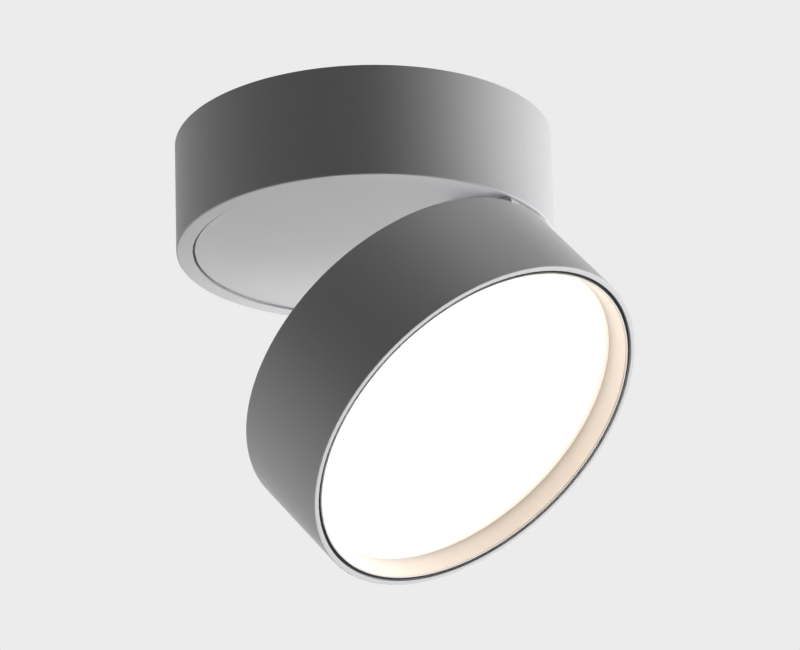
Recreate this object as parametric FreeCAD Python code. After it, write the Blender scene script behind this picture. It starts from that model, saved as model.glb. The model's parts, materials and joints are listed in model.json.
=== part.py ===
import FreeCAD, Part

import math
import os

# A surface mounted ceiling spotlight: a round base that holds the power supply, a turntable in
# its underside, and an equal round head that folds out from the base's rim.
#
# Frame: +Z up, origin at the centre of the face that meets the ceiling, +X towards the hinge.
# The head is drawn folded up under the base and then opened to the angle of the photograph.
# Lengths are millimetres, angles are degrees.

V = FreeCAD.Vector
UP = V(0, 0, 1)
CENTRE = V(0, 0, 0)

# ---------------------------------------------------------------- driving dimensions

# General clearances and screw sizes
seat_gap = 0.3               # between neighbours that must not touch
slip_gap = 0.02              # radial, round pieces fixed in their holes
edge_round = 0.5             # outside edges of the two cans
screw_radius = 1.5           # shank of the small screws
screw_head_radius = 2.8
screw_head_height = 1.8
cross_width = 0.8            # recess in the screw heads
cross_depth = 0.9
cross_overrun = 0.3          # how far the recess is cut past the screw head

# Base can
can_radius = 60.0            # of the base and of the head, which are equal discs
base_height = 37.0
base_wall = 2.2
ceiling_gap = 0.5            # the can stops this far below the ceiling
ring_width = 5.1             # lower ring of the can, from its outside to its opening
ring_thickness = 2.5
shoulder_width = 0.7         # step in the can's wall that carries the tray
groove_depth = 1.0           # snap ring groove in the can's wall

# Ceiling plate and the bayonet that the can hangs on
plate_inset = 9.3            # from the can's wall to the plate's rim
plate_thickness = 1.5
plate_slot_spacing = 70.0
plate_slot_width = 4.5
plate_slot_length = 14.0
tab_drop = 3.2               # from the ceiling to the top of the plate's tabs
tab_clearance = 1.3          # between the tabs' tips and the can's wall
tab_before = 16.0            # degrees of tab before the middle of its lug
tab_after = 26.0             # degrees of tab after the middle of its lug
lug_half_angle = 15.0
lug_thickness = 2.0
lug_reach = 6.3              # how far the can's lugs stand in from its wall
lug_count = 3
lug_first_angle = 103.0
lock_angle = 20.0            # from the middle of the first lug to the locking screw
lock_socket_radius = 0.85
lock_socket_depth = 1.6
cable_hole_radius = 8.0
cable_hole_y = 20.0
grommet_bore_radius = 4.5
grommet_lip = 2.0
grommet_lip_thickness = 1.5

# Turntable
turntable_gap = 0.8          # radial, between the disc and the ring's opening
turntable_recess = 0.5       # disc above the ring's lower face
turntable_web = 2.0
turntable_rim_height = 5.0
turntable_rim_width = 4.2
flange_clearance = 0.5       # radial, between the turntable's rim and the can
glide_thickness = 0.5
wave_space = 1.4             # between the turntable's rim and the tray
wave_width = 1.8
wave_thickness = 0.35
wave_count = 4
wave_steps = 12              # points on each wave
stop_inset = 4.4             # from the turntable's rim to the circle of the pan stop
stop_pin_radius = 1.5
stop_pin_gap = 0.5           # between the pin's top and the tray
stop_pin_angle = 90.0
stop_tab_width = 3.0

# Driver tray and what stands on it
tray_thickness = 1.2
tray_hole_radius = 4.0
snap_thickness = 1.2
snap_inward = 2.0            # how far the snap ring stands in from the wall
snap_opening = 30.0          # degrees left open in the snap ring
driver_length = 64.0
driver_width = 32.0
driver_height = 18.0
driver_wall = 1.6
driver_lid_thickness = 2.0
driver_corner_gap = 5.0      # between the driver's far corners and the can
driver_foot_length = 6.0
driver_foot_thickness = 2.0
driver_foot_margin = 1.0      # round the head of the foot's screw
driver_post_width = 3.2      # posts that the driver board rests on
board_thickness = 1.6
board_lift = 3.0             # driver board above the case's floor
transformer_size = (13.0, 15.0, 8.5)
winding_share = 0.7          # of the transformer's height
capacitor_radius = 3.6
capacitor_height = 8.5
capacitor_inset = 12.0       # from the driver's end to the first capacitor
capacitor_pitch = 9.0
capacitor_count = 2
chip_size = (6.0, 5.0, 1.6)
chip_inset = 7.0             # from the driver's other end to the first chip
chip_pitch = 8.0
chip_count = 2
block_length = 30.0
block_width = 16.0
block_height = 14.0
block_low_x = -2.0
block_near_y = 22.0
pole_count = 3
pole_radius = 2.2
clamp_x = -20.0
clamp_width = 7.0
clamp_thickness = 2.0
clamp_lift = 5.0
clamp_overhang = 1.0         # the clamp's ends stand past the terminal block
post_radius = 3.0
earth_inset = 19.8           # from the can's bore
earth_y = 8.0
earth_washer_radius = 4.5
earth_washer_thickness = 0.8
mains_lead_radius = 1.1
mains_lead_turn = 30.0       # degrees in each half of the S bend

# Low voltage lead
lead_radius = 1.3
lead_bend = 4.0
lead_bend_share = 0.95       # of the room there is, where that is less
lead_exit_inset = 14.35      # from the hinge to the lead's outlet and inlet
lead_exit_y = 20.0
output_bend = 8.0            # where the lead turns down the pan axis
output_depth = 8.0           # below the driver's top
lead_overhang = 1.0          # the base's lead ends this far below the tray
lead_grommet_radius = 3.2
lead_grommet_lip = 1.2
lead_grommet_lip_thickness = 1.0

# Rim hinge
knuckle_radius = 1.65
knuckle_gap = 0.3            # between the knuckles and the can's lower face, and end to end
notch_gap = 0.35             # radial, round the base's knuckles in the head
pin_radius = 0.9
pin_running_gap = 0.05
hinge_width = 20.0
centre_knuckle_width = 9.4
leaf_length = 20.35          # inwards from the hinge
head_leaf_thickness = 2.0
leaf_screw_inset = 14.35     # from the hinge
leaf_screw_y = 5.5
folded_gap = 2.5             # between base and head when folded

# Head
photo_tilt = 40.0            # opened this far in the photograph
head_height = 38.1
head_back = 3.0
head_rear_wall = 2.7
head_rim_wall = 1.7
rim_depth = 10.6             # depth of the wider bore behind the rim
spreader_gap = 3.3           # between the spreader and the head's wall
spreader_thickness = 3.0
pad_thickness = 0.5
board_inset = 4.0            # from the spreader's rim to the LED board's
led_board_thickness = 1.6
led_counts = (18, 12, 6)     # from the outer ring inwards
led_ring_pitch = 11.5
led_foot_gap = 4.5           # between the outer ring and the reflector's foot
led_size = (2.8, 3.5, 0.8)
board_screw_bite = 2.4       # of the screws in the spreader
board_screw_inset = 4.5      # from the LED board's rim
board_screw_angles = (70.0, 190.0, 310.0)
reflector_screw_angles = (100.0, 220.0, 340.0)
reflector_foot_inset = 12.5  # from the LED board's rim
reflector_wall = 1.2
reflector_lug_radius = 3.4
reflector_lug_thickness = 1.5
connector_length = 7.0
connector_width = 4.5
connector_height = 3.4
connector_distance = 14.0    # from the head's lead inlet
connector_inward = 15.0      # degrees that the lead turns in from the tangent
diffuser_depth = 7.0         # from the rim to the diffuser's face
diffuser_edge_gap = 0.5      # between the diffuser and the bezel's skirt
diffuser_lap = 1.0           # how far the bezel covers the diffuser's edge
diffuser_thickness = 2.0
seal_width = 2.5
seal_thickness = 1.0
groove_gap = 1.1             # radial, the dark groove between rim and bezel
groove_seal_set_back = 0.9   # black seal in the groove, below the rim
groove_seal_height = 2.0
rim_round = 0.4              # outer edge of the head's mouth
bore_round = 0.2             # inner edge of the head's mouth
bezel_land = 0.4
bezel_set_back = 0.3
bezel_chamfer = 0.3
bezel_skirt = 0.9            # wall of the bezel round the diffuser's edge
bezel_foot_height = 1.6
bezel_foot_gap = 0.1         # radial, in the head's bore
bezel_nub_reach = 0.6
bezel_nub_height = 0.8
bezel_nub_angle = 14.0
bezel_nub_places = (60.0, 180.0, 300.0)

# ---------------------------------------------------------------- levels and places worked out

base_low = -base_height
can_bore = can_radius - base_wall
ring_opening_radius = can_radius - ring_width
plate_radius = can_bore - plate_inset
ring_top = base_low + ring_thickness
lower_bore = can_bore - shoulder_width
glide_top = ring_top + glide_thickness
turntable_radius = ring_opening_radius - turntable_gap
flange_radius = lower_bore - flange_clearance
rim_inner_radius = flange_radius - turntable_rim_width
stop_radius = rim_inner_radius - stop_inset
turntable_low = base_low + turntable_recess
web_top = turntable_low + turntable_web
rim_top = glide_top + turntable_rim_height
tray_low = rim_top + wave_space
tray_top = tray_low + tray_thickness
snap_top = tray_top + snap_thickness
driver_top = tray_top + driver_height
driver_far_y = -math.sqrt((can_bore - driver_corner_gap) ** 2 - (driver_length / 2) ** 2)
driver_near_y = driver_far_y + driver_width
earth_x = earth_inset - can_bore
lock_z = -tab_drop - plate_thickness / 2
tab_tip = can_bore - tab_clearance

hinge_x = can_radius - knuckle_radius
hinge_z = base_low - knuckle_gap - knuckle_radius
head_back_z = base_low - folded_gap
leaf_inner_x = hinge_x - leaf_length
leaf_screw_x = hinge_x - leaf_screw_inset
leaf_low = hinge_z + knuckle_gap / 6
arm_top = base_low - knuckle_gap

head_front_z = head_back_z - head_height
head_floor_z = head_back_z - head_back
spreader_low = head_floor_z - spreader_thickness
pad_low = spreader_low - pad_thickness
board_low = pad_low - led_board_thickness
diffuser_face_z = head_front_z + diffuser_depth
diffuser_back_z = diffuser_face_z + diffuser_thickness
seal_back_z = diffuser_back_z + seal_thickness
rear_bore = can_radius - head_rear_wall
front_bore = can_radius - head_rim_wall
spreader_radius = rear_bore - spreader_gap
led_board_radius = spreader_radius - board_inset
board_screw_circle = led_board_radius - board_screw_inset
reflector_foot_radius = led_board_radius - reflector_foot_inset
rim_shoulder_z = head_front_z + rim_depth
bezel_radius = front_bore - groove_gap
skirt_bore = bezel_radius - bezel_skirt
diffuser_radius = skirt_bore - diffuser_edge_gap
diffuser_opening_radius = diffuser_radius - diffuser_lap
lead_exit_x = hinge_x - lead_exit_inset
lead_angle = math.degrees(math.atan2(lead_exit_y, lead_exit_x))
lead_distance = math.hypot(lead_exit_x, lead_exit_y)
lead_run_z = web_top + lead_radius + seat_gap
stop_tab_low = lead_run_z + lead_radius + seat_gap
lead_split_z = tray_low - lead_overhang   # where the base's lead meets the turntable's

# ---------------------------------------------------------------- small tools


def disc(radius, low, high, x=0.0, y=0.0):
    return Part.makeCylinder(radius, high - low, V(x, y, low))


def ring(outer, inner, low, high, x=0.0, y=0.0):
    return disc(outer, low, high, x, y).cut(disc(inner, low, high, x, y))


def block(x0, x1, y0, y1, z0, z1):
    return Part.makeBox(x1 - x0, y1 - y0, z1 - z0, V(x0, y0, z0))


def turned(profile):
    """A full turn of a closed outline of (radius, height) points."""
    points = [V(radius, 0, height) for radius, height in profile]
    face = Part.Face(Part.makePolygon(points + points[:1]))
    return face.revolve(CENTRE, UP, 360)


def sector(outer, inner, low, high, start, end):
    """A piece of a ring between two angles."""
    piece = Part.makeCylinder(outer, high - low, V(0, 0, low), UP, end - start)
    piece = piece.cut(disc(inner, low, high))
    piece.rotate(CENTRE, UP, start)
    return piece


def rotated(shape, angle):
    copy = shape.copy()
    copy.rotate(CENTRE, UP, angle)
    return copy


def across(radius, y0, y1, x, z):
    """A cylinder along Y."""
    return Part.makeCylinder(radius, y1 - y0, V(x, y0, z), V(0, 1, 0))


def around(angle, radius):
    return (radius * math.cos(math.radians(angle)), radius * math.sin(math.radians(angle)))


def joined(shapes):
    """One solid from pieces that overlap or share faces."""
    first, rest = shapes[0], shapes[1:]
    return first.fuse(rest).removeSplitter() if rest else first


def without(shape, tools):
    return shape.cut(Part.makeCompound(tools)) if tools else shape


def softened(shape, radius, wanted):
    """Rounds the circular edges for which wanted(edge) is true."""
    edges = [edge for edge in shape.Edges if isinstance(edge.Curve, Part.Circle) and wanted(edge)]
    return shape.makeFillet(radius, edges)


def is_circle(edge, radius, height):
    return (abs(edge.Curve.Radius - radius) < 1e-6
            and abs(edge.Curve.Center.z - height) < 1e-6)


def screw(length, head_low=True, countersunk=False):
    """A small screw with its head's face at z = 0 and its shank along +Z."""
    if countersunk:
        slope = screw_head_radius - screw_radius
        head = Part.makeCone(screw_head_radius, screw_radius, slope)
    else:
        head = disc(screw_head_radius, 0, screw_head_height)
    body = head.fuse(disc(screw_radius, 0, length))
    half_long = screw_head_radius + cross_overrun
    half_width = cross_width / 2
    bars = [block(-half_long, half_long, -half_width, half_width, 0, cross_depth),
            block(-half_width, half_width, -half_long, half_long, 0, cross_depth)]
    body = body.cut(bars[0].fuse(bars[1])).removeSplitter()
    if not head_low:
        body.rotate(CENTRE, V(1, 0, 0), 180)
    return body


def placed(shape, x, y, z):
    copy = shape.copy()
    copy.translate(V(x, y, z))
    return copy


def tube_along(points, radius, bends):
    """A round tube along straight runs whose corners are arcs of the given radii."""
    edges = []
    last = points[0]
    for index in range(1, len(points) - 1):
        corner = points[index]
        back = (points[index - 1] - corner).normalize()
        ahead = (points[index + 1] - corner).normalize()
        half = back.getAngle(ahead) / 2
        reach = bends[index - 1] / math.tan(half)
        start = corner + back * reach
        end = corner + ahead * reach
        bisector = (back + ahead).normalize()
        middle = corner + bisector * (bends[index - 1] / math.sin(half) - bends[index - 1])
        if (start - last).Length > 1e-6:
            edges.append(Part.LineSegment(last, start).toShape())
        edges.append(Part.Arc(start, middle, end).toShape())
        last = end
    if (points[-1] - last).Length > 1e-6:
        edges.append(Part.LineSegment(last, points[-1]).toShape())
    path = Part.Wire(edges)
    section = Part.Wire(Part.makeCircle(radius, points[0], points[1] - points[0]))
    return path.makePipeShell([section], True, False)


# ---------------------------------------------------------------- base


def lug_angles():
    return [lug_first_angle + index * 360.0 / lug_count for index in range(lug_count)]


def ceiling_plate():
    plate = disc(plate_radius, -plate_thickness, 0)
    drop_low = -tab_drop - plate_thickness
    pieces = [plate]
    for angle in lug_angles():
        start, end = angle - tab_before, angle + tab_after
        pieces.append(sector(plate_radius, plate_radius - plate_thickness, drop_low, 0, start, end))
        pieces.append(sector(tab_tip, plate_radius - plate_thickness, drop_low, -tab_drop, start, end))
    plate = joined(pieces)
    half_slot = (plate_slot_length - plate_slot_width) / 2
    cuts = [disc(cable_hole_radius, -plate_thickness, 0, 0, cable_hole_y)]
    for side in (-1, 1):
        middle = side * plate_slot_spacing / 2
        width = plate_slot_width / 2
        cuts.append(block(middle - half_slot, middle + half_slot, -width, width, -plate_thickness, 0))
        cuts.append(disc(width, -plate_thickness, 0, middle - half_slot))
        cuts.append(disc(width, -plate_thickness, 0, middle + half_slot))
    return without(plate, cuts)


def cable_grommet():
    low = -plate_thickness - grommet_lip_thickness
    body = disc(cable_hole_radius - slip_gap, low, 0, 0, cable_hole_y)
    lip = disc(cable_hole_radius + grommet_lip, low, -plate_thickness, 0, cable_hole_y)
    return without(joined([body, lip]), [disc(grommet_bore_radius, low, 0, 0, cable_hole_y)])


def base_housing():
    top = -ceiling_gap
    can = turned([
        (ring_opening_radius, base_low), (can_radius, base_low), (can_radius, top), (can_bore, top),
        (can_bore, snap_top), (can_bore + groove_depth, snap_top), (can_bore + groove_depth, tray_top),
        (can_bore, tray_top), (can_bore, tray_low), (lower_bore, tray_low), (lower_bore, ring_top),
        (ring_opening_radius, ring_top)])
    can = softened(can, edge_round, lambda edge: is_circle(edge, can_radius, base_low))
    lug_low = -tab_drop
    lugs = [sector(can_bore + base_wall / 2, can_bore - lug_reach, lug_low, lug_low + lug_thickness,
                   angle - lug_half_angle, angle + lug_half_angle) for angle in lug_angles()]
    can = joined([can] + lugs)
    hole = Part.makeCylinder(screw_radius, can_radius, V(0, 0, lock_z), V(1, 0, 0))
    return without(can, [rotated(hole, lug_first_angle + lock_angle)])


def locking_screw():
    head_end = can_radius - seat_gap
    body = Part.makeCylinder(screw_radius - slip_gap, head_end - tab_tip, V(tab_tip, 0, lock_z), V(1, 0, 0))
    corners = [V(head_end - lock_socket_depth, lock_socket_radius * math.cos(math.radians(60 * index)),
                 lock_z + lock_socket_radius * math.sin(math.radians(60 * index))) for index in range(6)]
    socket = Part.Face(Part.makePolygon(corners + corners[:1])).extrude(V(lock_socket_depth, 0, 0))
    return rotated(body.cut(socket), lug_first_angle + lock_angle)


def glide_washer():
    return ring(lower_bore - seat_gap, ring_opening_radius + seat_gap, ring_top, glide_top)


def wave_washer():
    """A spring ring whose height follows a sine round the rim of the turntable."""
    outer = flange_radius - seat_gap
    inner = outer - wave_width
    swing = (wave_space - seat_gap - wave_thickness) / 2
    middle = tray_low - swing - wave_thickness

    def wavy(radius, lift):
        points = []
        for step in range(wave_count * wave_steps):
            angle = 2 * math.pi * step / (wave_count * wave_steps)
            height = middle + lift + swing * math.cos(wave_count * angle)
            points.append(V(radius * math.cos(angle), radius * math.sin(angle), height))
        curve = Part.BSplineCurve()
        curve.interpolate(points, True)
        return curve.toShape()

    rings = [wavy(outer, 0), wavy(outer, wave_thickness), wavy(inner, wave_thickness), wavy(inner, 0)]
    faces = [Part.makeRuledSurface(rings[index], rings[(index + 1) % 4]) for index in range(4)]
    return Part.makeSolid(Part.makeShell(faces))


def driver_tray():
    tray = disc(can_bore - seat_gap, tray_low, tray_top)
    posts = [disc(post_radius, tray_low, tray_top + clamp_lift, clamp_x, y) for y in clamp_ends()]
    tab = block(stop_radius - stop_pin_radius, stop_radius + stop_pin_radius,
                -stop_tab_width / 2, stop_tab_width / 2, stop_tab_low, tray_low)
    tray = joined([tray, rotated(tab, stop_pin_angle + 180)] + posts)
    cuts = [disc(tray_hole_radius, tray_low, tray_top)]
    cuts += [disc(screw_radius, tray_low, tray_top, x, driver_middle_y()) for x in driver_screw_places()]
    cuts += [disc(screw_radius, tray_low, tray_top + clamp_lift, clamp_x, y) for y in clamp_ends()]
    cuts.append(disc(screw_radius, tray_low, tray_top, earth_x, earth_y))
    return without(tray, cuts)


def tray_snap_ring():
    outer = can_bore + groove_depth - seat_gap / 2
    return sector(outer, can_bore - snap_inward, tray_top, snap_top, snap_opening / 2, 360 - snap_opening / 2)


def driver_middle_y():
    return (driver_near_y + driver_far_y) / 2


def driver_screw_places():
    middle = driver_length / 2 + driver_foot_length / 2
    return (-middle, middle)


def driver_case():
    half = driver_length / 2
    lid_low = driver_top - driver_lid_thickness
    case = block(-half, half, driver_far_y, driver_near_y, tray_top, lid_low)
    hollow = block(-half + driver_wall, half - driver_wall, driver_far_y + driver_wall,
                   driver_near_y - driver_wall, tray_top + driver_wall, lid_low)
    foot_half = screw_head_radius + driver_foot_margin
    feet = [block(-half - driver_foot_length, -half, driver_middle_y() - foot_half,
                  driver_middle_y() + foot_half, tray_top, tray_top + driver_foot_thickness),
            block(half, half + driver_foot_length, driver_middle_y() - foot_half,
                  driver_middle_y() + foot_half, tray_top, tray_top + driver_foot_thickness)]
    ledge = driver_board_low()
    reach = driver_wall + driver_post_width
    posts = [block(x0, x1, y0, y1, tray_top + driver_wall, ledge)
             for x0, x1 in ((-half + driver_wall, -half + reach), (half - reach, half - driver_wall))
             for y0, y1 in ((driver_far_y + driver_wall, driver_far_y + reach),
                            (driver_near_y - reach, driver_near_y - driver_wall))]
    case = joined([case.cut(hollow)] + feet + posts)
    holes = [disc(screw_radius, tray_top, tray_top + driver_foot_thickness, x, driver_middle_y())
             for x in driver_screw_places()]
    return without(case, holes)


def driver_lid():
    half = driver_length / 2
    lid_low = driver_top - driver_lid_thickness
    lid = block(-half, half, driver_far_y, driver_near_y, lid_low, driver_top)
    inside = driver_wall + seat_gap
    skirt = block(-half + inside, half - inside, driver_far_y + inside, driver_near_y - inside,
                  lid_low - driver_lid_thickness, lid_low)
    hollow = block(-half + 2 * inside, half - 2 * inside, driver_far_y + 2 * inside,
                   driver_near_y - 2 * inside, lid_low - driver_lid_thickness, lid_low)
    return joined([lid, skirt.cut(hollow)])


def driver_board_low():
    return tray_top + driver_wall + board_lift


def driver_board_top():
    return driver_board_low() + board_thickness


def driver_board():
    inside = driver_length / 2 - driver_wall - seat_gap
    return block(-inside, inside, driver_far_y + driver_wall + seat_gap,
                 driver_near_y - driver_wall - seat_gap, driver_board_low(), driver_board_top())


def capacitor_places():
    first = capacitor_inset - driver_length / 2
    return [first + index * capacitor_pitch for index in range(capacitor_count)]


def chip_places():
    first = driver_length / 2 - chip_inset
    return [first - index * chip_pitch for index in range(chip_count)]


def driver_transformer():
    """The core and its winding, midway between the capacitors and the chips."""
    length, width, height = transformer_size
    low = driver_board_top()
    middle_y = driver_middle_y()
    middle_x = (capacitor_places()[-1] + capacitor_radius + chip_places()[-1] - chip_size[0] / 2) / 2
    core = block(middle_x - length / 2, middle_x + length / 2,
                 middle_y - width / 4, middle_y + width / 4, low, low + height)
    winding = Part.makeCylinder(width / 2, height * winding_share,
                                V(middle_x, middle_y, low + height * (1 - winding_share) / 2))
    bobbin = winding.common(block(middle_x - length / 3, middle_x + length / 3,
                                  middle_y - width / 2, middle_y + width / 2, low, low + height))
    return joined([core, bobbin])


def driver_capacitors():
    low = driver_board_top()
    return [disc(capacitor_radius, low, low + capacitor_height, x, driver_middle_y())
            for x in capacitor_places()]


def driver_chips():
    length, width, height = chip_size
    low = driver_board_top()
    return [block(x - length / 2, x + length / 2, driver_middle_y() - width / 2,
                  driver_middle_y() + width / 2, low, low + height) for x in chip_places()]


def driver_screws():
    top = tray_top + driver_foot_thickness
    length = screw_head_height + driver_foot_thickness + tray_thickness
    one = screw(length, head_low=False)
    return [placed(one, x, driver_middle_y(), top + screw_head_height) for x in driver_screw_places()]


def pole_places():
    step = block_length / pole_count
    return [block_low_x + step * (index + 0.5) for index in range(pole_count)]


def block_middle_y():
    return block_near_y + block_width / 2


def terminal_block():
    high_x = block_low_x + block_length
    far_y = block_near_y + block_width
    top = tray_top + block_height
    body = block(block_low_x, high_x, block_near_y, far_y, tray_top, top)
    middle = tray_top + block_height / 2
    cuts = [across(pole_radius, block_near_y, far_y, x, middle) for x in pole_places()]
    cuts += [disc(screw_head_radius + slip_gap, middle, top, x, block_middle_y()) for x in pole_places()]
    return without(body, cuts)


def terminal_screws():
    middle = tray_top + block_height / 2
    top = tray_top + block_height - seat_gap
    screws = []
    for x in pole_places():
        body = disc(screw_head_radius - slip_gap, middle + mains_lead_radius, top, x, block_middle_y())
        slot = block(x - screw_head_radius, x + screw_head_radius, block_middle_y() - cross_width / 2,
                     block_middle_y() + cross_width / 2, top - cross_depth, top)
        screws.append(body.cut(slot))
    return screws


def clamp_ends():
    inset = clamp_width / 2
    return (block_near_y + inset - clamp_overhang, block_near_y + block_width - inset + clamp_overhang)


def cord_clamp():
    low = tray_top + clamp_lift
    near, far = clamp_ends()
    bar = block(clamp_x - clamp_width / 2, clamp_x + clamp_width / 2, near, far, low, low + clamp_thickness)
    pads = [disc(clamp_width / 2, low, low + clamp_thickness, clamp_x, y) for y in (near, far)]
    bar = joined([bar] + pads)
    return without(bar, [disc(screw_radius, low, low + clamp_thickness, clamp_x, y) for y in (near, far)])


def cord_clamp_screws():
    top = tray_top + clamp_lift + clamp_thickness + screw_head_height
    length = screw_head_height + clamp_thickness + clamp_lift
    one = screw(length, head_low=False)
    return [placed(one, clamp_x, y, top) for y in clamp_ends()]


def earth_washer():
    return ring(earth_washer_radius, screw_radius + slip_gap, tray_top,
                tray_top + earth_washer_thickness, earth_x, earth_y)


def earth_screw():
    top = tray_top + earth_washer_thickness + screw_head_height
    length = screw_head_height + earth_washer_thickness + tray_thickness
    return placed(screw(length, head_low=False), earth_x, earth_y, top)


def mains_leads():
    """Two leads that swing across from the terminal block to the driver in an S."""
    height = tray_top + block_height / 2
    run = block_near_y - driver_near_y
    turn = math.radians(mains_lead_turn)
    radius = run / (2 * math.sin(turn))
    shift = 2 * radius * (1 - math.cos(turn))
    leads = []
    for x in pole_places()[1:]:
        start = V(x, block_near_y, height)
        middle = V(x - shift / 2, block_near_y - run / 2, height)
        end = V(x - shift, driver_near_y, height)
        half = turn / 2
        first = V(x - radius + radius * math.cos(half), block_near_y - radius * math.sin(half), height)
        last = V(end.x + radius - radius * math.cos(half), driver_near_y + radius * math.sin(half), height)
        path = Part.Wire([Part.Arc(start, first, middle).toShape(), Part.Arc(middle, last, end).toShape()])
        section = Part.Wire(Part.makeCircle(mains_lead_radius, start, V(0, 1, 0)))
        leads.append(path.makePipeShell([section], True, False))
    return leads


def output_lead():
    start = V(0, driver_near_y, driver_top - output_depth)
    corner = V(0, 0, start.z)
    end = V(0, 0, lead_split_z)
    return tube_along([start, corner, end], lead_radius, [min(output_bend, -driver_near_y * lead_bend_share)])


# ---------------------------------------------------------------- turntable


def lead_exit(low, high, radius):
    return disc(radius, low, high, lead_exit_x, lead_exit_y)


def leaf_screw_places():
    return ((leaf_screw_x, -leaf_screw_y), (leaf_screw_x, leaf_screw_y))


def turntable():
    table = turned([
        (0, turntable_low), (turntable_radius, turntable_low), (turntable_radius, glide_top),
        (flange_radius, glide_top), (flange_radius, rim_top), (rim_inner_radius, rim_top),
        (rim_inner_radius, web_top), (0, web_top)])
    stop_x, stop_y = around(stop_pin_angle, stop_radius)
    cuts = [lead_exit(turntable_low, web_top, lead_grommet_radius)]
    cuts += [disc(screw_radius, turntable_low, web_top, x, y) for x, y in leaf_screw_places()]
    cuts.append(disc(stop_pin_radius, turntable_low + turntable_web / 2, web_top, stop_x, stop_y))
    return without(table, cuts)


def pan_stop_pin():
    x, y = around(stop_pin_angle, stop_radius)
    return disc(stop_pin_radius - slip_gap, turntable_low + turntable_web / 2, tray_low - stop_pin_gap, x, y)


def base_hinge_leaf():
    """The leaf screwed under the disc, with an arm under the ring and two outer knuckles."""
    half = hinge_width / 2
    slot_half = centre_knuckle_width / 2 + knuckle_gap
    inner_end = turntable_radius - turntable_gap
    seat = block(leaf_inner_x, inner_end, -half, half, leaf_low, turntable_low)
    arm = block(leaf_inner_x, hinge_x, -half, half, leaf_low, arm_top)
    leaf = joined([seat, arm, across(knuckle_radius, -half, half, hinge_x, hinge_z)])
    leaf = leaf.cut(block(hinge_x - knuckle_radius - notch_gap, can_radius, -slot_half, slot_half,
                          hinge_z - knuckle_radius, arm_top))
    slope = screw_head_radius - screw_radius
    cuts = [across(pin_radius, -half, half, hinge_x, hinge_z)]
    for x, y in leaf_screw_places():
        cuts.append(disc(screw_radius, leaf_low, turntable_low, x, y))
        cuts.append(Part.makeCone(screw_head_radius, screw_radius, slope, V(x, y, leaf_low)))
    return without(leaf, cuts)


def base_leaf_screws():
    length = web_top - leaf_low
    one = screw(length, countersunk=True)
    return [placed(one, x, y, leaf_low) for x, y in leaf_screw_places()]


def hinge_pin():
    half = hinge_width / 2
    return across(pin_radius - slip_gap, -half, half, hinge_x, hinge_z)


def turntable_grommet():
    low = turntable_low - lead_grommet_lip_thickness
    body = lead_exit(low, web_top, lead_grommet_radius - slip_gap)
    lip = lead_exit(low, turntable_low, lead_grommet_radius + lead_grommet_lip)
    return without(joined([body, lip]), [lead_exit(low, web_top, lead_radius)])


def turntable_lead():
    run_z = lead_run_z
    down = V(lead_distance, 0, turntable_low - lead_grommet_lip_thickness)
    start = V(0, 0, lead_split_z)
    bend = min(lead_bend, (start.z - run_z) * lead_bend_share)
    exit_bend = min(lead_bend, (run_z - web_top) * lead_bend_share)
    lead = tube_along([start, V(0, 0, run_z), V(lead_distance, 0, run_z), down],
                      lead_radius - slip_gap, [bend, exit_bend])
    return rotated(lead, lead_angle)


# ---------------------------------------------------------------- head, drawn folded


def head_notch():
    """Room in the head's back corner for the hinge."""
    half = hinge_width / 2 + knuckle_gap
    centre_half = centre_knuckle_width / 2 + knuckle_gap
    depth = head_back_z - head_leaf_thickness
    outer_end = hinge_x - knuckle_radius - notch_gap + slip_gap
    return [block(leaf_inner_x - slip_gap, outer_end, -half, half, depth, head_back_z),
            block(leaf_inner_x - slip_gap, hinge_x + slip_gap, -centre_half, centre_half, depth, head_back_z),
            across(knuckle_radius + notch_gap, -half, half, hinge_x, hinge_z)]


def head_shell():
    nub_top = rim_shoulder_z - bezel_foot_height / 2 + bezel_nub_height / 2 + slip_gap
    nub_low = nub_top - bezel_nub_height - 2 * slip_gap
    nub_bore = front_bore + bezel_nub_reach
    shell = turned([
        (0, head_back_z), (can_radius, head_back_z), (can_radius, head_front_z),
        (front_bore, head_front_z), (front_bore, nub_low), (nub_bore, nub_low), (nub_bore, nub_top),
        (front_bore, nub_top), (front_bore, rim_shoulder_z), (rear_bore, rim_shoulder_z),
        (rear_bore, head_floor_z), (0, head_floor_z)])
    shell = softened(shell, edge_round, lambda edge: is_circle(edge, can_radius, head_back_z))
    shell = softened(shell, rim_round, lambda edge: is_circle(edge, can_radius, head_front_z))
    shell = softened(shell, bore_round, lambda edge: is_circle(edge, front_bore, head_front_z))
    cuts = head_notch()
    cuts.append(lead_exit(head_floor_z, head_back_z, lead_grommet_radius))
    cuts += [disc(screw_radius, head_floor_z, head_back_z, x, y) for x, y in leaf_screw_places()]
    return without(shell, cuts)


def head_hinge_leaf():
    half = hinge_width / 2
    centre_half = centre_knuckle_width / 2
    low = head_back_z - head_leaf_thickness
    plate_end = hinge_x - knuckle_radius - notch_gap
    plate = block(leaf_inner_x, plate_end, -half, half, low, head_back_z)
    neck = block(leaf_inner_x, hinge_x, -centre_half, centre_half, low, head_back_z)
    leaf = joined([plate, neck, across(knuckle_radius, -centre_half, centre_half, hinge_x, hinge_z)])
    cuts = [across(pin_radius + pin_running_gap - slip_gap, -half, half, hinge_x, hinge_z)]
    slope = screw_head_radius - screw_radius
    for x, y in leaf_screw_places():
        cuts.append(disc(screw_radius, low, head_back_z, x, y))
        cuts.append(Part.makeCone(screw_radius, screw_head_radius, slope, V(x, y, head_back_z - slope)))
    return without(leaf, cuts)


def head_leaf_screws():
    one = screw(head_back + spreader_thickness / 2, head_low=False, countersunk=True)
    return [placed(one, x, y, head_back_z) for x, y in leaf_screw_places()]


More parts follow.
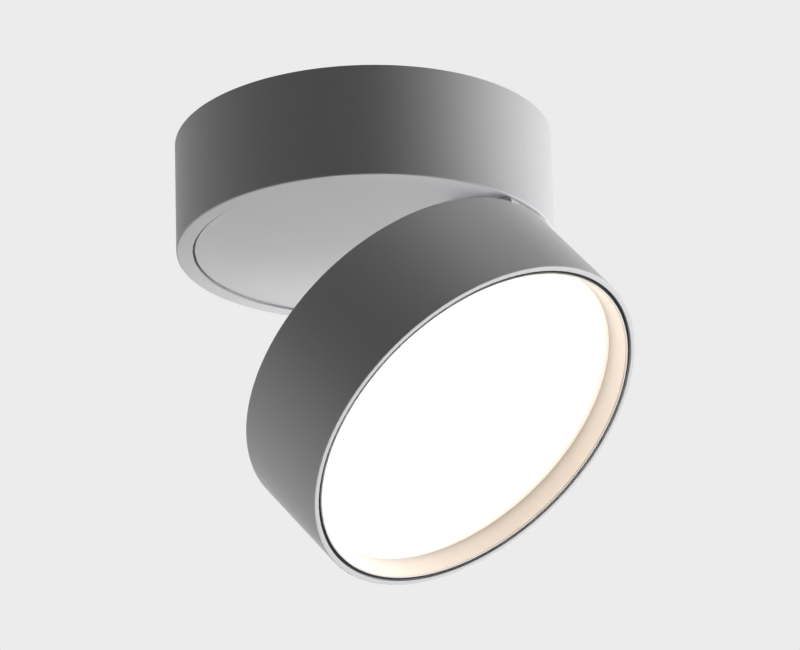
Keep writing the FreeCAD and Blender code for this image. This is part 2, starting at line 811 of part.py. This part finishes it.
def head_grommet():
    top = head_back_z + lead_grommet_lip_thickness
    body = lead_exit(head_floor_z, top, lead_grommet_radius - slip_gap)
    lip = lead_exit(head_back_z, top, lead_grommet_radius + lead_grommet_lip)
    return without(joined([body, lip]), [lead_exit(head_floor_z, top, lead_radius)])


def board_screw_places():
    return [around(angle, board_screw_circle) for angle in board_screw_angles]


def reflector_screw_places():
    return [around(angle, board_screw_circle) for angle in reflector_screw_angles]


def heat_spreader():
    cuts = [lead_exit(spreader_low, head_floor_z, lead_grommet_radius)]
    cuts += [disc(screw_radius, head_floor_z - spreader_thickness / 2, head_floor_z, x, y)
             for x, y in leaf_screw_places()]
    cuts += [disc(screw_radius, spreader_low, head_floor_z, x, y)
             for x, y in board_screw_places() + reflector_screw_places()]
    return without(disc(spreader_radius, spreader_low, head_floor_z), cuts)


def board_holes(low, high):
    holes = [lead_exit(low, high, lead_grommet_radius)]
    holes += [disc(screw_radius, low, high, x, y) for x, y in board_screw_places() + reflector_screw_places()]
    return holes


def thermal_pad():
    return without(disc(led_board_radius, pad_low, spreader_low), board_holes(pad_low, spreader_low))


def led_board():
    return without(disc(led_board_radius, board_low, pad_low), board_holes(board_low, pad_low))


def led_chips():
    length, width, height = led_size
    chips = []
    outer = reflector_foot_radius - led_foot_gap
    for place, count in enumerate(led_counts):
        radius = outer - place * led_ring_pitch
        for index in range(count):
            chip = block(radius - length / 2, radius + length / 2, -width / 2, width / 2,
                         board_low - height, board_low)
            chips.append(rotated(chip, index * 360.0 / count))
    return chips


def board_screws():
    length = screw_head_height + led_board_thickness + pad_thickness + board_screw_bite
    one = screw(length)
    return [placed(one, x, y, board_low - screw_head_height) for x, y in board_screw_places()]


def reflector():
    foot = reflector_foot_radius
    mouth = diffuser_opening_radius - seal_width / 2
    thick = reflector_wall
    flange = diffuser_radius
    cone = turned([
        (foot, board_low), (foot + thick, board_low), (mouth + thick / 2, seal_back_z + thick),
        (flange, seal_back_z + thick), (flange, seal_back_z), (mouth, seal_back_z)])
    low = board_low - reflector_lug_thickness
    lugs = []
    for x, y in reflector_screw_places():
        lug = disc(reflector_lug_radius, low, board_low, x, y)
        bridge = block(foot + thick / 4, board_screw_circle, -reflector_lug_radius, reflector_lug_radius,
                       low, board_low)
        lugs.append(lug.fuse(rotated(bridge, math.degrees(math.atan2(y, x)))))
    holes = [disc(screw_radius, low, board_low, x, y) for x, y in reflector_screw_places()]
    return without(joined([cone] + lugs), holes)


def reflector_screws():
    length = (screw_head_height + reflector_lug_thickness + led_board_thickness + pad_thickness
              + board_screw_bite)
    low = board_low - reflector_lug_thickness - screw_head_height
    return [placed(screw(length), x, y, low) for x, y in reflector_screw_places()]


def lead_direction():
    """Unit vector of the head's lead on the board, a little in from the tangent."""
    heading = math.radians(lead_angle + 90 + connector_inward)
    return V(math.cos(heading), math.sin(heading), 0)


def board_connector():
    low = board_low - connector_height
    piece = block(connector_distance, connector_distance + connector_length,
                  -connector_width / 2, connector_width / 2, low, board_low)
    piece.rotate(CENTRE, UP, lead_angle + 90 + connector_inward)
    return placed(piece, lead_exit_x, lead_exit_y, 0)


def head_lead():
    run_z = board_low - lead_radius - seat_gap
    start = V(lead_exit_x, lead_exit_y, head_back_z + lead_grommet_lip_thickness)
    corner = V(lead_exit_x, lead_exit_y, run_z)
    end = corner + lead_direction() * connector_distance
    return tube_along([start, corner, end], lead_radius - slip_gap, [lead_bend])


def diffuser_seal():
    return ring(diffuser_radius, diffuser_radius - seal_width, diffuser_back_z, seal_back_z)


def diffuser():
    return disc(diffuser_radius, diffuser_face_z, diffuser_back_z)


def bezel_ring():
    """The white ring: a land in the rim's plane, a sloping wall down to the diffuser, a skirt."""
    front = head_front_z + bezel_set_back
    inner_front = bezel_radius - bezel_land
    foot_radius = front_bore - bezel_foot_gap
    foot_top = rim_shoulder_z
    foot_low = foot_top - bezel_foot_height
    bezel = turned([
        (bezel_radius, front), (inner_front, front), (inner_front - bezel_chamfer, front + bezel_chamfer),
        (diffuser_opening_radius, diffuser_face_z), (skirt_bore, diffuser_face_z),
        (skirt_bore, foot_top), (foot_radius, foot_top), (foot_radius, foot_low), (bezel_radius, foot_low)])
    nub_middle = (foot_top + foot_low) / 2
    nubs = []
    for middle in bezel_nub_places:
        nubs.append(sector(front_bore + bezel_nub_reach - slip_gap, skirt_bore + bezel_skirt / 2,
                           nub_middle - bezel_nub_height / 2, nub_middle + bezel_nub_height / 2,
                           middle - bezel_nub_angle / 2, middle + bezel_nub_angle / 2))
    return joined([bezel] + nubs)


def groove_seal():
    low = head_front_z + groove_seal_set_back
    return ring(front_bore - slip_gap, bezel_radius + slip_gap, low, low + groove_seal_height)


# ---------------------------------------------------------------- assembly

fixed_pieces = {
    "ceiling_plate": ceiling_plate,
    "cable_grommet": cable_grommet,
    "base_housing": base_housing,
    "locking_screw": locking_screw,
    "glide_washer": glide_washer,
    "wave_washer": wave_washer,
    "driver_tray": driver_tray,
    "tray_snap_ring": tray_snap_ring,
    "driver_case": driver_case,
    "driver_lid": driver_lid,
    "driver_board": driver_board,
    "driver_transformer": driver_transformer,
    "driver_capacitors": driver_capacitors,
    "driver_chips": driver_chips,
    "driver_screws": driver_screws,
    "terminal_block": terminal_block,
    "terminal_screws": terminal_screws,
    "cord_clamp": cord_clamp,
    "cord_clamp_screws": cord_clamp_screws,
    "earth_washer": earth_washer,
    "earth_screw": earth_screw,
    "mains_leads": mains_leads,
    "output_lead": output_lead,
    "turntable": turntable,
    "pan_stop_pin": pan_stop_pin,
    "base_hinge_leaf": base_hinge_leaf,
    "base_leaf_screws": base_leaf_screws,
    "hinge_pin": hinge_pin,
    "turntable_grommet": turntable_grommet,
    "turntable_lead": turntable_lead,
}

head_pieces = {
    "head_shell": head_shell,
    "head_hinge_leaf": head_hinge_leaf,
    "head_leaf_screws": head_leaf_screws,
    "head_grommet": head_grommet,
    "heat_spreader": heat_spreader,
    "thermal_pad": thermal_pad,
    "led_board": led_board,
    "led_chips": led_chips,
    "board_screws": board_screws,
    "board_connector": board_connector,
    "head_lead": head_lead,
    "reflector": reflector,
    "reflector_screws": reflector_screws,
    "diffuser_seal": diffuser_seal,
    "diffuser": diffuser,
    "bezel_ring": bezel_ring,
    "groove_seal": groove_seal,
}


def as_shape(made):
    return Part.makeCompound(made) if isinstance(made, list) else made


def save(name, shape):
    for solid in shape.Solids:
        print(name, "solid" if solid.isValid() else "INVALID SOLID", round(solid.Volume, 1))
    shape.exportStep(os.path.join("parts", name + ".step"))


os.makedirs("parts", exist_ok=True)
for name, make in fixed_pieces.items():
    save(name, as_shape(make()))
for name, make in head_pieces.items():
    shape = as_shape(make())
    shape.rotate(V(hinge_x, 0, hinge_z), V(0, -1, 0), photo_tilt)
    save(name, shape)
print("hinge at", round(hinge_x, 3), round(hinge_z, 3))
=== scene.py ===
"""A surface mounted ceiling spotlight: finishes, light and camera around its construction."""
import json
import math

import bpy
from mathutils import Matrix, Vector

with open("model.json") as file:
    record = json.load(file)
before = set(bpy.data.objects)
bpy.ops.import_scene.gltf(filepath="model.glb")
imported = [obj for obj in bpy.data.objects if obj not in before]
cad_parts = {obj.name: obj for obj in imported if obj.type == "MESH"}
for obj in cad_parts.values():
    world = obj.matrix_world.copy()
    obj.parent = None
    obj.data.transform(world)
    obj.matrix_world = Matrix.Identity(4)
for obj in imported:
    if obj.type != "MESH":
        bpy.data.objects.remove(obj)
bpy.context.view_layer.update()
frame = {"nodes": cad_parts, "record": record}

# Lengths are in metres and angles in degrees. Azimuths go round +Z from +X, and elevations below the
# ceiling are negative.

# ---------------------------------------------------------------- camera, as the photograph was taken

EYE_DISTANCE = 1.4878          # from the middle of the ceiling face
EYE_AZIMUTH = -57.355
EYE_ELEVATION = -23.987
FRAME_WIDTH, FRAME_HEIGHT = 800, 650
FOCAL_PIXELS = 4662.3
ORIGIN_PIXEL = (368.64, 141.94)   # where the middle of the ceiling face lies in the picture
ROLL = 1.716
SENSOR = 36.0                  # mm across the picture
CLIP = (0.05, 50.0)            # nearest and farthest distance that the camera sees

# ---------------------------------------------------------------- light

PAGE = 0.839                   # linear value of the photograph's plain background
FILL = 0.01                    # even light from all round
LAMP_MIDDLE = Vector((0.01, 0, -0.07))
LIGHT_DISTANCE = 1.8           # from the lamp's middle to each soft box
# name, azimuth, elevation, width and height of the soft box, watts
LIGHTS = [
    ("right", 45.0, -8.0, 1.0, 1.0, 22.0),
    ("right_low", 45.0, -38.0, 1.5, 1.0, 15.2),
    ("behind", 120.0, -8.0, 1.0, 1.0, 12.9),
    ("left", 190.0, -38.0, 1.0, 1.0, 6.5),
    ("above", 0.0, 80.0, 1.0, 1.0, 6.6),
]

# ---------------------------------------------------------------- floor

FLOOR_Z = -2.4
FLOOR_HALF = 4.0               # half of its side
FLOOR_COLOUR = 0.8             # linear, as are its darkest and lightest shade
FLOOR_SHADES = (0.78, 0.82)
FLOOR_CLOUDS = 3.0             # scale of the noise between the two shades
FLOOR_ROUGHNESS = 0.9
FLOOR_GLOW = 0.7               # added to the floor where it is seen, and to nothing else

# ---------------------------------------------------------------- diffuser

HINGE = Vector((0.05835, 0.0, -0.03895))
OPENED = math.radians(40.0)    # of the head at rest, from folded
DIFFUSER_LEVEL = -0.0706       # of the diffuser's face on the folded head
OPAL = (0.5, 0.5, 0.49, 1.0)   # of the unlit sheet
OPAL_ROUGHNESS = 0.4
GLOW = 2.65                    # of the diffuser's middle
GLOW_COLOUR = (1.0, 0.835, 0.7, 1.0)
GLOW_EDGE = (0.044, 0.0548)    # radii between which the glow weakens
EDGE_SHARE = 0.3               # of the glow that is left at the edge


# ---------------------------------------------------------------- helpers


def srgb(*values):
    """Display values of 0 to 255 as the linear colour that a shader takes."""
    out = []
    for value in values:
        part = value / 255.0
        out.append(part / 12.92 if part <= 0.04045 else ((part + 0.055) / 1.055) ** 2.4)
    return (*out, 1.0)


def grey(value):
    return (value, value, value, 1.0)


def scaled(colour, factor):
    return (*(part * factor for part in colour[:3]), 1.0)


def direction(azimuth, elevation):
    a, e = math.radians(azimuth), math.radians(elevation)
    return Vector((math.cos(a) * math.cos(e), math.sin(a) * math.cos(e), math.sin(e)))


def add_object(name, data):
    made = bpy.data.objects.new(name, data)
    bpy.context.collection.objects.link(made)
    return made


def add_node(tree, kind, sockets, **properties):
    """A shader node with its properties, whose inputs take the given constants or links."""
    node = tree.nodes.new("ShaderNode" + kind)
    for name, value in properties.items():
        setattr(node, name, value)
    for key, value in sockets.items():
        if isinstance(value, bpy.types.NodeSocket):
            tree.links.new(value, node.inputs[key])
        else:
            node.inputs[key].default_value = value
    return node


# ---------------------------------------------------------------- camera and light


def make_camera():
    data = bpy.data.cameras.new("camera")
    data.sensor_width = SENSOR
    data.lens = FOCAL_PIXELS / FRAME_WIDTH * SENSOR
    data.clip_start, data.clip_end = CLIP
    camera = add_object("camera", data)
    eye = direction(EYE_AZIMUTH, EYE_ELEVATION) * EYE_DISTANCE
    ahead = (-eye).normalized()
    right = ahead.cross(Vector((0, 0, 1))).normalized()
    up = right.cross(ahead)
    # turned from the origin until that falls on its pixel, then rolled
    ray = Vector(((ORIGIN_PIXEL[0] - FRAME_WIDTH / 2) / FOCAL_PIXELS,
                  (FRAME_HEIGHT / 2 - ORIGIN_PIXEL[1]) / FOCAL_PIXELS, 1.0)).normalized()
    turn = Vector((0, 0, 1)).rotation_difference(ray).to_matrix()
    rows = Matrix.Rotation(math.radians(ROLL), 3, "Z") @ turn @ Matrix((right, up, ahead))
    axes = Matrix((rows[0], rows[1], -rows[2])).transposed()
    camera.matrix_world = Matrix.Translation(eye) @ axes.to_4x4()
    bpy.context.scene.camera = camera


def soft_box(name, azimuth, elevation, width, height, power):
    """A soft box that faces the lamp's middle."""
    data = bpy.data.lights.new(name, "AREA")
    data.shape = "RECTANGLE"
    data.size, data.size_y = width, height
    data.energy = power
    light = add_object(name, data)
    light.location = LAMP_MIDDLE + direction(azimuth, elevation) * LIGHT_DISTANCE
    light.rotation_mode = "QUATERNION"
    light.rotation_quaternion = (LAMP_MIDDLE - light.location).to_track_quat("-Z", "Y")


def seen_rays(tree):
    """One for rays from the camera, a reflection or a transmission, and zero for the rest."""
    paths = add_node(tree, "LightPath", {})
    factor = paths.outputs["Is Camera Ray"]
    for ray in ("Is Glossy Ray", "Is Transmission Ray"):
        either = add_node(tree, "Math", {0: factor, 1: paths.outputs[ray]}, operation="MAXIMUM")
        factor = either.outputs[0]
    return factor


def mixed_by_sight(tree, unseen, seen):
    """One shader for the rays that light the lamp, and another for the rays that are seen."""
    sockets = {"Fac": seen_rays(tree), 1: unseen.outputs[0], 2: seen.outputs[0]}
    return add_node(tree, "MixShader", sockets).outputs[0]


def light_the_scene():
    for values in LIGHTS:
        soft_box(*values)
    world = bpy.data.worlds.new("world")
    bpy.context.scene.world = world
    world.use_nodes = True
    tree = world.node_tree
    tree.nodes.clear()
    page = add_node(tree, "Background", {"Color": grey(PAGE)})
    fill = add_node(tree, "Background", {"Color": grey(FILL)})
    add_node(tree, "OutputWorld", {"Surface": mixed_by_sight(tree, fill, page)})


# ---------------------------------------------------------------- parts of a material


def new_material(name, colour, roughness, metallic=0.0, specular=0.5):
    material = bpy.data.materials.new(name)
    material.use_nodes = True
    tree = material.node_tree
    shader = tree.nodes["Principled BSDF"]
    shader.inputs["Base Color"].default_value = colour
    shader.inputs["Roughness"].default_value = roughness
    shader.inputs["Metallic"].default_value = metallic
    shader.inputs["Specular IOR Level"].default_value = specular
    return material, tree, shader


def rest_place(tree):
    """Places at rest, in metres, which each piece keeps as it moves."""
    return add_node(tree, "TexCoord", {}).outputs["Object"]


def noise(tree, place, scale, detail=2.0, roughness=0.5):
    sockets = {"Vector": place, "Scale": scale, "Detail": detail, "Roughness": roughness}
    return add_node(tree, "TexNoise", sockets).outputs["Fac"]


def ramp(tree, value, low, high, start=0.0, end=1.0):
    node = add_node(tree, "ValToRGB", {"Fac": value})
    first, last = node.color_ramp.elements
    first.position, last.position = start, end
    first.color, last.color = low, high
    return node.outputs["Color"]


def vary_colour(tree, shader, value, colour, low, high):
    """The base colour goes from low to high times the given one."""
    tone = ramp(tree, value, scaled(colour, low), scaled(colour, high), start=0.3, end=0.7)
    tree.links.new(tone, shader.inputs["Base Color"])


def vary_roughness(tree, shader, value, low, high):
    spread = add_node(tree, "MapRange", {"Value": value, "To Min": low, "To Max": high})
    tree.links.new(spread.outputs["Result"], shader.inputs["Roughness"])


def raise_grain(tree, shader, value, distance, strength):
    bump = add_node(tree, "Bump", {"Height": value, "Distance": distance, "Strength": strength})
    tree.links.new(bump.outputs["Normal"], shader.inputs["Normal"])


# ---------------------------------------------------------------- finishes


def powder_coat(name, colour, roughness):
    """Fine satin powder coat: faint cloudiness, fine grain in height and gloss."""
    material, tree, shader = new_material(name, colour, roughness)
    place = rest_place(tree)
    cloud = noise(tree, place, scale=22.0, detail=3.0)
    vary_colour(tree, shader, cloud, colour, low=0.975, high=1.01)
    grain = noise(tree, place, scale=1400.0, roughness=0.6)
    vary_roughness(tree, shader, grain, low=roughness - 0.06, high=roughness + 0.06)
    raise_grain(tree, shader, grain, distance=0.00004, strength=0.5)
    return material


def smooth_plastic(name, colour, roughness):
    """Moulded plastic: a near even colour and a faint flow in its gloss."""
    material, tree, shader = new_material(name, colour, roughness)
    place = rest_place(tree)
    flow = noise(tree, place, scale=60.0)
    vary_colour(tree, shader, flow, colour, low=0.98, high=1.01)
    vary_roughness(tree, shader, flow, low=roughness - 0.05, high=roughness + 0.07)
    raise_grain(tree, shader, noise(tree, place, scale=900.0), distance=0.00002, strength=0.4)
    return material


def plain_metal(name, colour, roughness):
    """Rolled or turned metal with fine drawn lines along X."""
    material, tree, shader = new_material(name, colour, roughness, metallic=1.0)
    stretch = add_node(tree, "Mapping", {"Vector": rest_place(tree), "Scale": (60.0, 900.0, 900.0)})
    lines = noise(tree, stretch.outputs["Vector"], scale=1.0, detail=3.0)
    vary_colour(tree, shader, lines, colour, low=0.86, high=1.05)
    vary_roughness(tree, shader, lines, low=roughness - 0.08, high=roughness + 0.12)
    raise_grain(tree, shader, lines, distance=0.00002, strength=0.5)
    return material


def rubber(name, colour, roughness):
    """Moulded rubber or foam: a matt grain in colour and height."""
    material, tree, shader = new_material(name, colour, roughness, specular=0.3)
    grain = noise(tree, rest_place(tree), scale=700.0, detail=3.0)
    vary_colour(tree, shader, grain, colour, low=0.85, high=1.1)
    raise_grain(tree, shader, grain, distance=0.00005, strength=0.6)
    return material


def opened_point(x, z):
    """Where a point of the folded head lies at rest."""
    turn = Matrix.Rotation(OPENED, 3, Vector((0, -1, 0)))
    return HINGE + turn @ (Vector((x, 0, z)) - HINGE)


def head_radius(tree, place):
    """Distance from the head's own axis."""
    middle = opened_point(0.0, DIFFUSER_LEVEL)
    axis = (opened_point(0.0, DIFFUSER_LEVEL - 1.0) - middle).normalized()
    offset = add_node(tree, "VectorMath", {0: place, 1: middle}, operation="SUBTRACT")
    across = add_node(tree, "VectorMath", {0: offset.outputs["Vector"], 1: axis},
                      operation="CROSS_PRODUCT")
    length = add_node(tree, "VectorMath", {0: across.outputs["Vector"]}, operation="LENGTH")
    return length.outputs["Value"]


def opal_sheet(name):
    """The diffuser: satin opal sheet lit from behind, weaker towards its edge."""
    material, tree, shader = new_material(name, OPAL, OPAL_ROUGHNESS)
    place = rest_place(tree)
    edge = add_node(tree, "MapRange",
                    {"Value": head_radius(tree, place),
                     "From Min": GLOW_EDGE[0], "From Max": GLOW_EDGE[1]},
                    interpolation_type="SMOOTHSTEP")
    tone = ramp(tree, edge.outputs["Result"], GLOW_COLOUR, scaled(GLOW_COLOUR, EDGE_SHARE))
    tree.links.new(tone, shader.inputs["Emission Color"])
    shader.inputs["Emission Strength"].default_value = GLOW
    raise_grain(tree, shader, noise(tree, place, scale=1500.0), distance=0.00001, strength=0.3)
    return material


def paint_nodes():
    """Gives every carried-over piece its finish, by the record's material slot."""
    finishes = {
        "white_paint": powder_coat("powder_coat", srgb(228, 228, 230), 0.5),
        "zinc_steel": plain_metal("zinc_steel", srgb(166, 168, 172), 0.46),
        # the black rubber also colours the seal set in the groove between the head's rim and the bezel: a
        # dark ring that gives that gap its painted shade
        "black_rubber": rubber("black_rubber", srgb(38, 38, 39), 0.75),
        "grey_rubber": rubber("grey_rubber", srgb(150, 150, 152), 0.75),
        "steel": plain_metal("plain_steel", srgb(176, 177, 180), 0.32),
        "natural_nylon": smooth_plastic("natural_nylon", srgb(228, 224, 212), 0.5),
        "case_plastic": smooth_plastic("case_plastic", srgb(224, 224, 222), 0.5),
        "board_green": smooth_plastic("board_green", srgb(32, 110, 62), 0.35),
        "winding_tape": smooth_plastic("winding_tape", srgb(214, 180, 60), 0.4),
        "capacitor_sleeve": smooth_plastic("capacitor_sleeve", srgb(38, 42, 66), 0.3),
        "chip_black": smooth_plastic("chip_black", srgb(34, 34, 35), 0.5),
        "brass": plain_metal("plain_brass", srgb(214, 186, 118), 0.34),
        "lead_jacket": smooth_plastic("lead_jacket", srgb(226, 226, 224), 0.5),
        "bare_aluminium": plain_metal("bare_aluminium", srgb(206, 207, 210), 0.36),
        "board_white": smooth_plastic("board_white", srgb(238, 238, 234), 0.4),
        "led_phosphor": smooth_plastic("led_phosphor", srgb(236, 206, 96), 0.4),
        "white_plastic": smooth_plastic("white_plastic", srgb(240, 240, 238), 0.45),
        "white_foam": rubber("white_foam", srgb(232, 232, 228), 0.9),
        "opal": opal_sheet("opal_sheet"),
        "bezel_white": smooth_plastic("bezel_white", srgb(246, 242, 236), 0.4),
    }
    slot_of = {part["node"]: part["material_slot"] for part in frame["record"]["subparts"]}
    for name, piece in frame["nodes"].items():
        if not piece.material_slots:
            piece.data.materials.append(None)
        for slot in piece.material_slots:
            slot.link = "OBJECT"
            slot.material = finishes[slot_of[name]]


def make_floor():
    """Pale paper far below the lamp, which takes its shadow."""
    mesh = bpy.data.meshes.new("floor")
    corners = [(x * FLOOR_HALF, y * FLOOR_HALF, FLOOR_Z) for x, y in ((-1, -1), (1, -1), (1, 1), (-1, 1))]
    mesh.from_pydata(corners, [], [(0, 1, 2, 3)])
    floor = add_object("floor", mesh)
    material, tree, shader = new_material("floor_paper", grey(FLOOR_COLOUR), FLOOR_ROUGHNESS)
    clouds = add_node(tree, "TexNoise", {"Scale": FLOOR_CLOUDS}).outputs["Fac"]
    darkest, lightest = FLOOR_SHADES
    tree.links.new(ramp(tree, clouds, grey(darkest), grey(lightest)), shader.inputs["Base Color"])
    glow = add_node(tree, "Emission", {"Color": grey(FLOOR_GLOW)})
    glowing = add_node(tree, "AddShader", {0: shader.outputs[0], 1: glow.outputs[0]})
    surface = tree.nodes["Material Output"].inputs["Surface"]
    tree.links.new(mixed_by_sight(tree, shader, glowing), surface)
    mesh.materials.append(material)


# ---------------------------------------------------------------- assembly

paint_nodes()
make_floor()
light_the_scene()
make_camera()
bpy.context.scene.view_settings.view_transform = "Standard"
